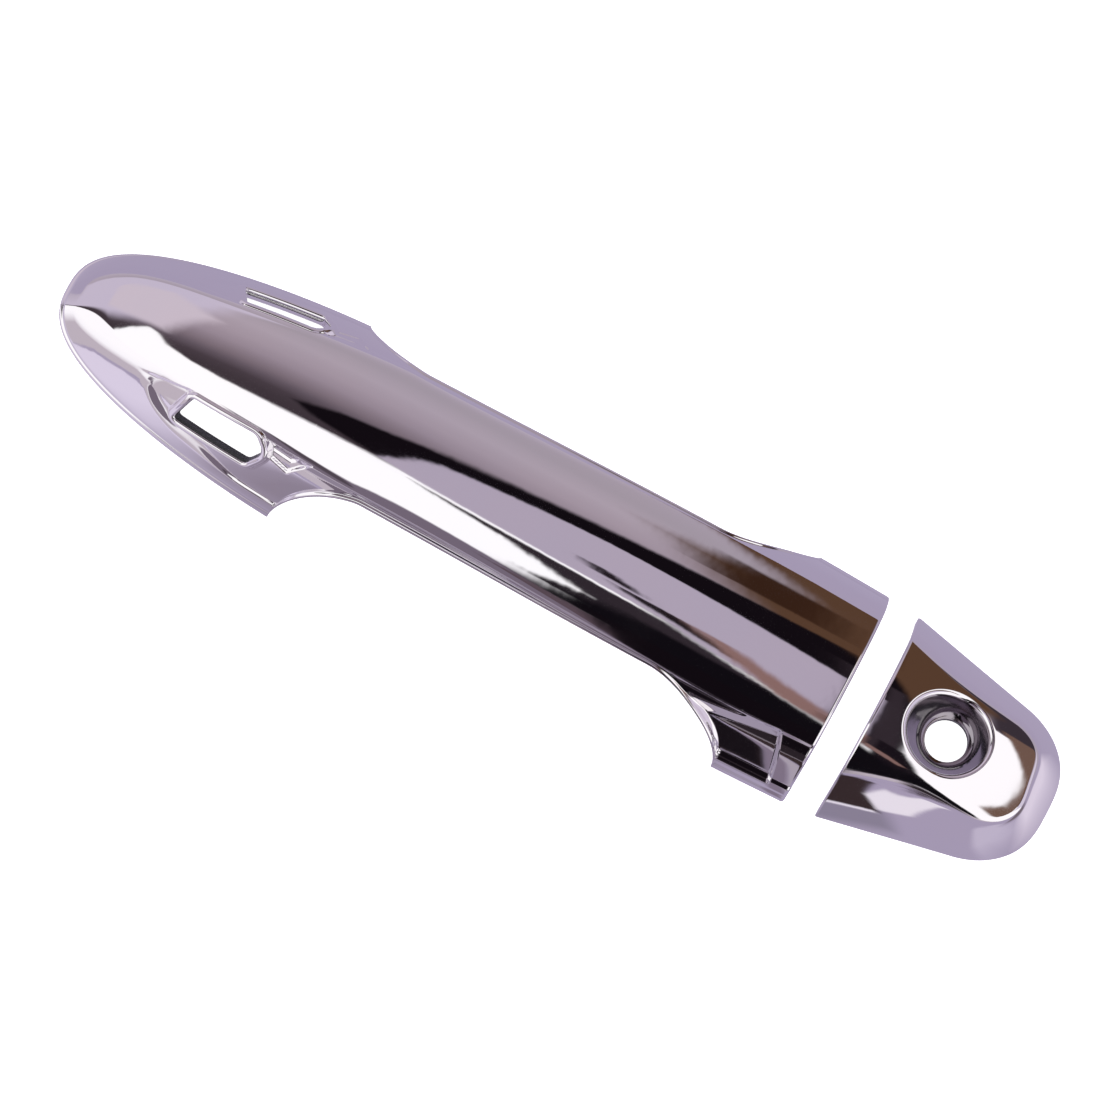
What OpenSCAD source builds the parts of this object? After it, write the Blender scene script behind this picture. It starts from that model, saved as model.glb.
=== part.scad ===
// Chrome stick-on trim for an outside car door handle: a long grip cover and a
// keyhole cover, each a thin open-backed shell with foam tape and release
// liners inside. X runs from the nose of the grip cover to the rounded end of
// the keyhole cover, and Z points away from the door skin, which is Z = 0.

/* [Grip cover] */
// Length of the grip cover
grip_l = 200; // [180:1:230]
// Width across both feet, measured on the door skin
foot_w = 53; // [46:1:58]
// Extra width of the rear foot
rear_flare = 3.6; // [0:0.2:6]
// Height of the crown above the door skin
crown_h = 24; // [21:0.5:28]
// Length over which the bullet nose widens
nose_l = 80; // [70:1:90]
// Height of the grip's side edges above the door skin
grip_rise = 17; // [12:0.5:18]
// Where the front arch leaves the door skin
front_arch_x = 65.5; // [60:0.5:70]
// Where the rear arch comes back to the door skin
rear_arch_x = 181.5; // [170:0.5:184]

/* [Side slots] */
// Distance from the nose to the slots, along the foot
slot_x = 35; // [32:0.5:38]
// Length of each slot
slot_l = 20; // [14:0.5:22]
// Height that the bezel stands out around each slot
bezel_h = 0.9; // [0.4:0.1:1.2]

/* [Keyhole cover] */
// Length of the keyhole cover
cap_l = 47; // [42:1:56]
// Width of the keyhole cover across its front edge
cap_w = 53.6; // [48:0.5:60]
// Height of the keyhole cover at its front edge
cap_h = 22.6; // [20:0.2:25]
// Gap left between the two covers for the handle's travel
cap_gap = 7.8; // [4:0.2:12]
// Diameter of the keyhole
key_d = 10; // [8:0.5:11]
// Diameter of the dished recess round the keyhole
dish_d = 20.5; // [17:0.5:22]
// Distance from the front edge to the keyhole
key_x = 18; // [16:0.5:20]

/* [Walls, tape and liners] */
// Wall of both shells
wall = 2; // [1.4:0.1:2.4]
// Thickness of the foam tape
tape_t = 1; // [0.8:0.1:1.6]
// Thickness of a release liner
liner_t = 0.2; // [0.15:0.05:0.4]
// Length of the pull tab on each liner
tab_l = 5; // [3:0.5:7]

/* [Hidden] */

overall_l = grip_l + cap_gap + cap_l;
cap_x = grip_l + cap_gap;   // front edge of the keyhole cover
skin_gap = 0.1;             // air between stacked pieces, so that none overlap
chrome = [0.80, 0.79, 0.84];
foam = [0.16, 0.16, 0.17];
liner_white = [0.86, 0.86, 0.84];

// ---- curves that both covers share -------------------------------------

function mix(a, b, f) = a + (b - a) * f;
function step01(f) = let (c = min(1, max(0, f))) c * c * (3 - 2 * c);

// Share of the full width reached at x by a rounded nose of the given length.
function bullet(x, nose, p, q) =
    pow(1 - pow(max(0, 1 - x / nose), p), 1 / q);

// The lower of two heights, with the crease between them rounded.
function soft_min(a, b, r) =
    let (h = max(0, r - abs(a - b)) / r) min(a, b) - h * h * r / 4;

// Height of a side wall at the distance d in from its foot.
function wall_z(d, slope, bend) = slope * d / (1 + d * bend);

// Places are given as (q, v). q runs back along the foot from the tip, and
// ring_x turns it into millimetres: steps of q stay even round the tip.
// v runs across, from -1 at the near foot over the crown at 0 to 1.
tip_x = 24;
tip_power = 2.4;
function ring_x(q) =
    q < 1 ? tip_x * pow(q, tip_power) : tip_x * (1 + tip_power * (q - 1));
function ring_q(x) =
    x < tip_x ? pow(x / tip_x, 1 / tip_power) : 1 + (x / tip_x - 1) / tip_power;

// Unit normal, outwards, of the surface that the function at(q, v) gives.
function normal(at, q, v) =
    let (h = 0.01,
         side = v < 0 ? -1 : 1,
         r = max(0.02, abs(v)),
         ahead = at(q + h, side * r),
         back = q > h ? at(q - h, side * r) : at(h - q, -side * r),
         along = ahead - back,
         across = at(q, side * r) - at(q, side * (r - 0.01)),
         n = side * cross(along, across),
         flat = v == 0 ? [n.x, 0, n.z] : n)
    flat / norm(flat);

function inside(at, q, v, depth) = at(q, v) - depth * normal(at, q, v);

// ---- grip cover surface -------------------------------------------------

tip_h = 3.5;          // height at which the crown line starts
tip_reach = 26;       // how far the nose face leans back to the crown line
tip_slope = 0.95;     // slope of the nose face at the tip
side_slope = 2.75;    // slope of the side walls at the foot
wall_bend = 21;       // the larger, the straighter the side walls
top_r = 26;           // radius of the arched top across the handle
crease_r = 1.8;       // softness of the crease between wall and top
crown_x = 95;         // the crown is highest here
rear_drop = 1.0;      // and falls by this much to the rear end
front_arch_l = 18;
rear_arch_l = 24;

function grip_half_w(x) =
    (foot_w / 2
     + rear_flare / 2 * step01((x - nose_l) / (rear_arch_x - nose_l))
     - step01((x - rear_arch_x + 8) / 40)) * bullet(x, nose_l, 1.75, 2.6);

function grip_lean(x) = tip_reach * pow(max(0, 1 - x / nose_l), 2);

function grip_crown(x) =
    crown_h
    - (crown_h - tip_h) * pow(max(0, 1 - x / crown_x), tip_power)
    - rear_drop * pow(max(0, x - crown_x) / (grip_l - crown_x), 2);

grip_at = function (q, v)
    let (x0 = ring_x(q), r = 1 - abs(v), w = grip_half_w(x0),
         nose = min(1, x0 / nose_l),
         x = x0 + r * grip_lean(x0), y = v * w,
         d = r * norm([grip_lean(x0), w]),
         side = wall_z(d, mix(tip_slope, side_slope, nose), nose / wall_bend),
         top = grip_crown(x) - y * y / (2 * top_r))
    [x, y, max(0, soft_min(side, top, crease_r))];

// Height of the lower edge: on the door skin at both feet, arched between.
function arch(f, e) = f >= 1 ? 0 : pow(1 - pow(max(0, f), e), 1 / e);
function edge_z(x) =
    grip_rise * min(arch((front_arch_x + front_arch_l - x) / front_arch_l, 1.8),
                    arch((x - rear_arch_x + rear_arch_l) / rear_arch_l, 1.9));

// The v at which the surface meets that lower edge, found by halving.
function edge_v(q, lo = 0.4, hi = 1, n = 14) =
    let (mid = (lo + hi) / 2, p = grip_at(q, mid))
    edge_z(ring_x(q)) <= 0 ? 1
    : n == 0 ? mid
    : p.z > edge_z(p.x) ? edge_v(q, mid, hi, n - 1) : edge_v(q, lo, mid, n - 1);

// ---- keyhole cover surface ----------------------------------------------

// Its own x runs forward from the rounded end, so it is turned round in place,
// and its v runs from 1 at the near foot to -1.
cap_end_w = 33.2;     // width that the tapered sides would have at the tip
cap_nose = 15;        // length of the rounded end
cap_reach = 11;       // how far the grid leans back at the tip
cap_lean_l = 36;      // length behind the tip over which it does so
cap_slope = 2.3;      // slope of the side walls at the foot, by the front edge,
cap_near_slope = 3.4; // and on the two sides of the rounded end
cap_far_slope = 2.5;
cap_bend = 40;        // the larger, the straighter they are
cap_drop = 6.5;       // fall of the crown from the front edge to the end

function cap_half_w(x) =
    mix(cap_end_w, cap_w, x / cap_l) / 2 * bullet(x, cap_nose, 2.2, 3);

function cap_lean(x) = cap_reach * pow(max(0, 1 - x / cap_lean_l), 2);

// The foot in plan, from the rounded end to just past the front edge.
cap_foot = [for (q = concat([for (i = [0:24]) i / 30],
                            [for (i = [1:12]) mix(0.8, ring_q(cap_l + 4), i / 12)]))
            [ring_x(q), cap_half_w(ring_x(q))]];

function to_segment(p, a, b) =
    let (along = b - a, f = min(1, max(0, (p - a) * along / (along * along))))
    norm(p - a - f * along);

// Distance in from the foot at the plan place (x, y).
function cap_in(x, y) =
    min([for (i = [1:len(cap_foot) - 1])
         to_segment([x, abs(y)], cap_foot[i - 1], cap_foot[i])]);

// Height over the plan place (x, y) of the outer face, or of the inner one where
// the wall is set in by side_wall and the top lowered by top_wall.
function cap_z(x, y, side_wall = 0, top_wall = 0) =
    let (end_slope = mix(cap_far_slope, cap_near_slope, step01(0.5 + y / cap_end_w)),
         slope = mix(end_slope, cap_slope, step01(x / cap_lean_l)),
         side = wall_z(cap_in(x, y) - side_wall, slope, 1 / cap_bend),
         top = cap_h - cap_drop * pow(max(0, 1 - x / cap_l), 2)
               - y * y / (2 * top_r) - top_wall)
    soft_min(side, top, crease_r);

cap_at = function (q, v)
    let (x0 = ring_x(q), x = x0 + (1 - abs(v)) * cap_lean(x0), y = v * cap_half_w(x0))
    [cap_x + cap_l - x, -y, max(0, cap_z(x, y))];

// ---- solids from grids of points ----------------------------------------

function flat(rows) = [for (row = rows) each row];
function pair(a, b, c, d) = [[a, b, c], [a, c, d]];

// A skin between two grids of the same size. Row 0 is folded at a tip: its
// left and right halves are the same points. holes lists the openings as
// [first row, last row, first column, last column].
module skin(over, under, folded = false, holes = []) {
    n = len(over) - 1;
    m = len(over[0]) - 1;
    count = (n + 1) * (m + 1);
    function id(i, j) = i * (m + 1) + (folded && i == 0 ? min(j, m - j) : j);
    function cut(i, j) =
        len([for (h = holes)
             if (i >= h[0] && i < h[1] && j >= h[2] && j < h[3]) 1]) > 0;
    faces = flat([
        for (i = [0:n - 1]) for (j = [0:m - 1]) if (!cut(i, j))
            concat(pair(id(i, j), id(i, j + 1), id(i + 1, j + 1), id(i + 1, j)),
                   pair(count + id(i + 1, j), count + id(i + 1, j + 1),
                        count + id(i, j + 1), count + id(i, j))),
        for (i = [0:n - 1])
            concat(wall_strip(id(i, 0), id(i + 1, 0), count),
                   wall_strip(id(i + 1, m), id(i, m), count)),
        for (j = [0:m - 1]) wall_strip(id(n, j), id(n, j + 1), count),
        if (!folded) flat([for (j = [0:m - 1])
            wall_strip(id(0, j + 1), id(0, j), count)]),
        for (h = holes) flat([
            for (i = [h[0]:h[1] - 1])
                concat(wall_strip(id(i, h[3]), id(i + 1, h[3]), count),
                       wall_strip(id(i + 1, h[2]), id(i, h[2]), count)),
            for (j = [h[2]:h[3] - 1])
                concat(wall_strip(id(h[0], j), id(h[0], j + 1), count),
                       wall_strip(id(h[1], j + 1), id(h[1], j), count))])]);
    polyhedron(concat(flat(over), flat(under)), faces, convexity = 8);
}
function wall_strip(a, b, count) = pair(a, b, count + b, count + a);

// Evenly spaced values, both ends included.
function spread(a, b, n) = [for (i = [0:n]) mix(a, b, i / n)];
function spread_open(a, b, n) = [for (i = [1:n]) mix(a, b, i / n)];

// A strip that follows the inside of a cover between two depths. Its area is
// [x from, x to, v from, v to]. An x below 0 lies on the other side of the tip,
// so that a strip can run round it.
module strip(at, area, depth, thick) {
    function grid(d) =
        [for (x = spread(area[0], area[1], 12))
            [for (v = spread(area[2], area[3], 6))
                inside(at, ring_q(abs(x)), x < 0 ? -v : v, d)]];
    skin(grid(depth), grid(depth + thick));
}

// ---- grip cover ----------------------------------------------------------

slot_low = 0.79;       // v of the slot's lower and upper edges
slot_high = 0.53;
nose_steps = 12;
slot_steps = 8;

// Stations along the foot: close together where the outline turns.
grip_xs = concat(
    [for (q = spread(0, 1, nose_steps)) ring_x(q)],
    spread_open(tip_x, slot_x, 3),
    spread_open(slot_x, slot_x + slot_l, slot_steps),
    spread_open(slot_x + slot_l, front_arch_x, 4),
    [for (a = spread_open(0, 90, 9)) front_arch_x + front_arch_l * (1 - cos(a))],
    spread_open(front_arch_x + front_arch_l, rear_arch_x - rear_arch_l, 6),
    [for (a = spread_open(0, 90, 11)) rear_arch_x - rear_arch_l * (1 - sin(a))],
    spread_open(rear_arch_x, grip_l, 5));
slot_row = nose_steps + 3;

// Shares of the way from the crown to the lower edge.
half_shares = concat(spread(0, slot_high, 7), spread_open(slot_high, slot_low, 4),
                     spread_open(slot_low, 1, 4));
half_count = len(half_shares) - 1;
shares = concat([for (i = [half_count:-1:1]) -half_shares[i]], half_shares);
slot_from = half_count + 7;
slot_to = half_count + 11;

// How far the bezel lifts the surface: full at the slot, nothing 2.5 mm away.
function bezel(x0, v) =
    let (along = max(slot_x - x0, x0 - slot_x - slot_l, 0),
         across = max(abs(v) - slot_low, slot_high - abs(v), 0) * foot_w / 2)
    bezel_h * (1 - step01(norm([along, across]) / 2.5));

function grip_grid(depth) =
    [for (x0 = grip_xs)
        let (q = ring_q(x0), edge = edge_v(q), rim = grip_at(q, edge))
        [for (s = shares)
            let (v = s * edge,
                 p = inside(grip_at, q, v, depth > 0 ? depth : -bezel(x0, v)))
            [x0 == grip_l ? grip_l : p.x, p.y, max(p.z, rim.z)]]];

module grip_cover() {
    color(chrome)
    skin(grip_grid(0), grip_grid(wall), folded = true,
         holes = [[slot_row, slot_row + slot_steps, slot_from, slot_to],
                  [slot_row, slot_row + slot_steps,
                   2 * half_count - slot_to, 2 * half_count - slot_from]]);
}

// ---- keyhole cover -------------------------------------------------------

key_place = [cap_x + key_x, 0];
dish_floor = 15;      // height of the bottom of the dish
dish_wall = 1.8;
cut = 1;              // overshoot of every cutter

side_lean = 0.95;     // width across a side wall for each millimetre of wall
inner_share = 0.96;   // the inner body ends this far out, inside the foot

// Everything under the cover's outer face, or under its inner face for a wall.
// It may run on past the front edge.
module cap_body(thick, past_front) {
    qs = concat(spread(0, 0.8, 15),
                [for (x = spread_open(ring_x(0.8), cap_l + past_front, 12))
                 ring_q(x)]);
    vs = spread(-1, 1, 26) * (thick > 0 ? inner_share : 1);
    over = [for (q = qs) [for (v = vs)
            let (p = cap_at(q, v), x = cap_x + cap_l - p.x)
            [p.x, p.y, max(cap_z(x, -p.y, thick * side_lean, thick), -thick / 4)]]];
    under = [for (row = over) [for (p = row) [p.x, p.y, -cut]]];
    skin(over, under, folded = true);
}

module keyhole_cover() {
    color(chrome)
    difference() {
        cap_body(0, 0);
        difference() {
            cap_body(wall, cut);
            translate([key_place.x, 0, dish_floor - dish_wall])
                cylinder(d = dish_d + 2 * dish_wall, h = cap_h, $fn = 64);
        }
        translate([key_place.x, 0, dish_floor])
            cylinder(d1 = key_d + 3, d2 = dish_d + 1.6, h = 7.6, $fn = 64);
        translate([key_place.x, 0, 0])
            cylinder(d = key_d, h = cap_h, $fn = 64);
        translate([cap_x - cut, -cap_w, -2 * cut])
            cube([cap_l + 2 * cut, 2 * cap_w, 2 * cut]);
    }
}

// ---- tapes and liners ----------------------------------------------------

nose_area = [20, 34, -0.36, 0.36];
front_foot_area = [40, 62, -0.34, 0.34];
near_grip_area = [72, 168, -0.52, -0.2];
far_grip_area = [72, 168, 0.2, 0.52];
near_rear_area = [176, 195, -0.5, -0.12];
far_rear_area = [176, 195, 0.12, 0.5];
near_keyhole_area = [18, 40, 0.72, 0.88];
far_keyhole_area = [18, 40, -0.88, -0.72];
end_keyhole_area = [-5, 5, 0.66, 0.88];

module tape(at, area) {
    color(foam)
    strip(at, area, wall + skin_gap, tape_t);
}

// A liner covers its tape and runs past one end of it as a pull tab.
module liner(at, area) {
    color(liner_white)
    strip(at, [area[0] - tab_l, area[1], area[2], area[3]],
          wall + 2 * skin_gap + tape_t, liner_t);
}

module nose_tape() { tape(grip_at, nose_area); }
module front_foot_tape() { tape(grip_at, front_foot_area); }
module near_grip_tape() { tape(grip_at, near_grip_area); }
module far_grip_tape() { tape(grip_at, far_grip_area); }
module near_rear_tape() { tape(grip_at, near_rear_area); }
module far_rear_tape() { tape(grip_at, far_rear_area); }
module near_keyhole_tape() { tape(cap_at, near_keyhole_area); }
module far_keyhole_tape() { tape(cap_at, far_keyhole_area); }
module end_keyhole_tape() { tape(cap_at, end_keyhole_area); }

module nose_liner() { liner(grip_at, nose_area); }
module front_foot_liner() { liner(grip_at, front_foot_area); }
module near_grip_liner() { liner(grip_at, near_grip_area); }
module far_grip_liner() { liner(grip_at, far_grip_area); }
module near_rear_liner() { liner(grip_at, near_rear_area); }
module far_rear_liner() { liner(grip_at, far_rear_area); }
module near_keyhole_liner() { liner(cap_at, near_keyhole_area); }
module far_keyhole_liner() { liner(cap_at, far_keyhole_area); }
module end_keyhole_liner() { liner(cap_at, end_keyhole_area); }

// The whole part is centred over its footprint.
module centred() { translate([-overall_l / 2, 0, 0]) children(); }

centred() grip_cover();
centred() keyhole_cover();
centred() nose_tape();
centred() front_foot_tape();
centred() near_grip_tape();
centred() far_grip_tape();
centred() near_rear_tape();
centred() far_rear_tape();
centred() near_keyhole_tape();
centred() far_keyhole_tape();
centred() end_keyhole_tape();
centred() nose_liner();
centred() front_foot_liner();
centred() near_grip_liner();
centred() far_grip_liner();
centred() near_rear_liner();
centred() far_rear_liner();
centred() near_keyhole_liner();
centred() far_keyhole_liner();
centred() end_keyhole_liner();
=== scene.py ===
"""Chrome stick-on trim for an outside car door handle, modelled over its CAD frame."""
import math

import bmesh
import bpy
import numpy as np
from bpy.props import FloatProperty, FloatVectorProperty, PointerProperty
from bpy.types import Operator, Panel, PropertyGroup
from mathutils import Matrix, Vector


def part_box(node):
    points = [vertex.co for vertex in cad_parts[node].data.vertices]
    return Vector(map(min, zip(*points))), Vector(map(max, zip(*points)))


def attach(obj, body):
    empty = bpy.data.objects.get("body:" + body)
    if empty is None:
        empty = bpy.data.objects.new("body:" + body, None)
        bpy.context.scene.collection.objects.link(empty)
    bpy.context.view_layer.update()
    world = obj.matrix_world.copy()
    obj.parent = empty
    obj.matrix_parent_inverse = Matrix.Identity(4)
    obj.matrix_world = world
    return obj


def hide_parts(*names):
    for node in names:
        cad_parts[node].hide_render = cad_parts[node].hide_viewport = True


bl_info = {
    "name": "Door handle chrome trim",
    "version": (1, 0, 0),
    "blender": (4, 5, 0),
    "location": "View3D > Sidebar > Handle trim",
    "description": "Grip cover and keyhole cover with their foam tapes and release liners",
    "category": "Add Mesh",
}

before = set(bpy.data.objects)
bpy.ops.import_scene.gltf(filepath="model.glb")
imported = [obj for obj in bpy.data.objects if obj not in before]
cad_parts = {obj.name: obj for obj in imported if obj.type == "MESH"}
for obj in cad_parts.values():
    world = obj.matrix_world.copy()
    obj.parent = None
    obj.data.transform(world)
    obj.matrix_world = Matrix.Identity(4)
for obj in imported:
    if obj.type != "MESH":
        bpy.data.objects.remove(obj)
MM = 0.001


def cad_size(node):
    """Size of a CAD node in millimetres."""
    low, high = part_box(node)
    return [(b - a) / MM for a, b in zip(low, high)]


# ---- the covers' surfaces, in millimetres from the nose of the grip cover ----

GRIP_L, GRIP_W, CROWN_H = cad_size("grip_cover")
CAP_L, CAP_W, CAP_H = cad_size("keyhole_cover")
NOSE_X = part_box("grip_cover")[0][0] / MM      # the nose in the row frame
CAP_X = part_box("keyhole_cover")[0][0] / MM - NOSE_X
WALL = 2.0
TOP_R = 26.0            # radius of the arched top across the handle
CREASE_R = 1.8          # softness of the crease between wall and top
TIP_X, TIP_POWER = 24.0, 2.4


def mix(a, b, f):
    return a + (b - a) * f


def step01(f):
    f = np.clip(f, 0.0, 1.0)
    return f * f * (3.0 - 2.0 * f)


def bullet(x, nose, p, q):
    """Share of the full width that a rounded nose has reached at x."""
    return (1.0 - np.maximum(0.0, 1.0 - x / nose) ** p) ** (1.0 / q)


def soft_min(a, b, r):
    """The lower of two heights, with the crease between them rounded."""
    h = np.maximum(0.0, r - np.abs(a - b)) / r
    return np.minimum(a, b) - h * h * r / 4.0


def run(*stretches):
    """Values through the given stretches: (start, end, steps) each."""
    values = [np.array([stretches[0][0]])]
    for start, end, steps in stretches:
        values.append(np.linspace(start, end, steps + 1)[1:])
    return np.concatenate(values)


def ring_x(q):
    """Millimetres along the foot at the even station q, counted from the tip."""
    return np.where(q < 1.0, TIP_X * np.abs(q) ** TIP_POWER,
                    TIP_X * (1.0 + TIP_POWER * (q - 1.0)))


def ring_q(x):
    x = np.asarray(x, float)
    return np.where(x < TIP_X, (np.maximum(x, 0.0) / TIP_X) ** (1.0 / TIP_POWER),
                    1.0 + (x / TIP_X - 1.0) / TIP_POWER)


class Cover:
    """A cover's outer surface. A place on it is (x0, v): x0 runs along the foot
    from the tip, and v across, 0 at the crown and 1 or -1 at the foot."""

    sign = 1.0          # -1 where the cover points the other way
    tip = 0.0           # x of its tip

    def lean(self, x0):
        return self.reach * np.maximum(0.0, 1.0 - x0 / self.lean_l) ** 2

    def local(self, x0, v):
        """Plan place, counted from the tip, and height of the surface there."""
        r = 1.0 - np.abs(v)
        w = self.half_width(x0)
        x = x0 + r * self.lean(x0)
        y = v * w
        slope, bend = self.wall_curve(x0)
        d = r * np.hypot(self.lean(x0), w)
        side = slope * d / (1.0 + d * bend)
        top = self.crown(x) - y * y / (2.0 * TOP_R)
        return x, y, np.maximum(0.0, soft_min(side, top, CREASE_R))

    def at(self, q, v):
        x, y, z = self.local(ring_x(q), v)
        return np.stack([self.tip + self.sign * x, self.sign * y, z], -1)

    def normal(self, q, v):
        h = 0.01
        side = np.where(v < 0.0, -1.0, 1.0)
        r = np.maximum(0.02, np.abs(v))
        back_q = q - h
        ahead = self.at(q + h, side * r)
        back = self.at(np.abs(back_q), np.where(back_q < 0.0, -1.0, 1.0) * side * r)
        across = side[..., None] * (self.at(q, side * r) - self.at(q, side * (r - 0.01)))
        n = np.cross(ahead - back, across)
        n[..., 1] = np.where(v == 0.0, 0.0, n[..., 1])
        return n / np.linalg.norm(n, axis=-1, keepdims=True)

    def point(self, x0, v, out=0.0):
        """The place (x0, v), raised by out along the surface's normal."""
        x0, v, out = np.broadcast_arrays(np.asarray(x0, float), np.asarray(v, float),
                                         np.asarray(out, float))
        q = ring_q(x0)
        p = self.at(q, v) + out[..., None] * self.normal(q, v)
        p[..., 2] = np.maximum(p[..., 2], 0.0)
        return p

    def chart(self, x0, v):
        """Side wall places as (x from the tip, height up the slope)."""
        x0, v = np.broadcast_arrays(np.asarray(x0, float), np.asarray(v, float))
        r = 1.0 - np.abs(v)
        return (x0 + r * self.lean(x0),
                SLANT * r * np.hypot(self.lean(x0), self.half_width(x0)))

    def from_chart(self, x, h):
        """The reverse of chart, on the side where v is positive."""
        x0 = np.asarray(x, float).copy()
        for _ in range(12):
            r = h / (SLANT * np.hypot(self.lean(x0), self.half_width(x0)))
            x0 = x - r * self.lean(x0)
        return x0, 1.0 - r


SLANT = 1.9             # length up a side wall for each millimetre inwards


class GripCover(Cover):
    length, nose = GRIP_L, 80.0
    reach, lean_l = 26.0, 80.0
    tip_h, crown_x, rear_drop = 3.5, 95.0, 1.0
    arch_x, arch_l = (65.5, 181.5), (18.0, 24.0)
    grip_rise = 17.0
    foot_w, rear_flare = 53.0, 3.6

    def half_width(self, x):
        return (self.foot_w / 2.0
                + self.rear_flare / 2.0
                * step01((x - self.nose) / (self.arch_x[1] - self.nose))
                - step01((x - self.arch_x[1] + 8.0) / 40.0)
                ) * bullet(x, self.nose, 1.75, 2.6)

    def crown(self, x):
        return (CROWN_H
                - (CROWN_H - self.tip_h)
                * np.maximum(0.0, 1.0 - x / self.crown_x) ** TIP_POWER
                - self.rear_drop
                * (np.maximum(0.0, x - self.crown_x) / (self.length - self.crown_x)) ** 2)

    def wall_curve(self, x0):
        f = np.minimum(1.0, x0 / self.nose)
        return mix(0.95, 2.75, f), f / 21.0

    def edge_z(self, x):
        """Height of the lower edge: on the door at the feet, arched between."""
        def arch(f, e):
            return (1.0 - np.clip(f, 0.0, 1.0) ** e) ** (1.0 / e)
        front = (self.arch_x[0] + self.arch_l[0] - x) / self.arch_l[0]
        rear = (x - self.arch_x[1] + self.arch_l[1]) / self.arch_l[1]
        return self.grip_rise * np.minimum(arch(front, 1.8), arch(rear, 1.9))

    def edge_v(self, x0):
        """The v at which the surface meets the lower edge, found by halving."""
        low, high = np.full(x0.shape, 0.4), np.full(x0.shape, 1.0)
        for _ in range(30):
            v = (low + high) / 2.0
            x, _y, z = self.local(x0, v)
            above = z > self.edge_z(x)
            low, high = np.where(above, v, low), np.where(above, high, v)
        return np.where(self.edge_z(x0) <= 0.0, 1.0, (low + high) / 2.0)


def to_polyline(x, y, line):
    """Distance of each place from a line of points."""
    nearest = np.full(np.shape(x), np.inf)
    for (ax, ay), (bx, by) in zip(line[:-1], line[1:]):
        ex, ey = bx - ax, by - ay
        f = np.clip(((x - ax) * ex + (y - ay) * ey) / (ex * ex + ey * ey), 0.0, 1.0)
        nearest = np.minimum(nearest, np.hypot(x - ax - f * ex, y - ay - f * ey))
    return nearest


class KeyholeCover(Cover):
    """This one's height depends on the plan place alone."""

    sign, tip = -1.0, CAP_X + CAP_L
    length = CAP_L
    reach, lean_l = 11.0, 36.0
    end_w, drop, bend = 33.2, 6.5, 40.0
    slope, near_slope, far_slope = 2.3, 3.4, 2.5

    def __init__(self):
        q = run((0.0, 0.8, 60), (0.8, float(ring_q(self.length + 4.0)), 24))
        self.foot = np.stack([ring_x(q), self.half_width(ring_x(q))], -1)

    def half_width(self, x):
        return mix(self.end_w, CAP_W, x / CAP_L) / 2.0 * bullet(x, 15.0, 2.2, 3.0)

    def height(self, x, y):
        """Height over the plan place, which is counted from the rounded end."""
        end_slope = mix(self.far_slope, self.near_slope, step01(0.5 + y / self.end_w))
        slope = mix(end_slope, self.slope, step01(x / self.lean_l))
        within = np.abs(y) <= self.half_width(np.maximum(x, 0.0))
        d = np.where(within & (x >= 0.0), 1.0, -1.0) * to_polyline(x, np.abs(y), self.foot)
        side = slope * d / (1.0 + d / self.bend)
        top = (CAP_H - self.drop * np.maximum(0.0, 1.0 - x / CAP_L) ** 2
               - y * y / (2.0 * TOP_R))
        return soft_min(side, top, CREASE_R)

    def local(self, x0, v):
        x = x0 + (1.0 - np.abs(v)) * self.lean(x0)
        y = v * self.half_width(x0)
        return x, y, np.maximum(0.0, self.height(x, y))

    def over(self, x, y, out):
        """The place over a plan place, raised by out along the surface's normal."""
        h = 0.02
        in_x = (self.height(x + h, y) - self.height(x - h, y)) / (2.0 * h)
        in_y = (self.height(x, y + h) - self.height(x, y - h)) / (2.0 * h)
        scale = out / np.sqrt(1.0 + in_x ** 2 + in_y ** 2)
        return np.stack([self.tip - (x - in_x * scale), -(y - in_y * scale),
                         np.maximum(0.0, self.height(x, y) + scale)], -1)

    def edge_v(self, x0):
        return np.ones(x0.shape)


GRIP, CAP = GripCover(), KeyholeCover()


# ---- mesh helpers ----

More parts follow.
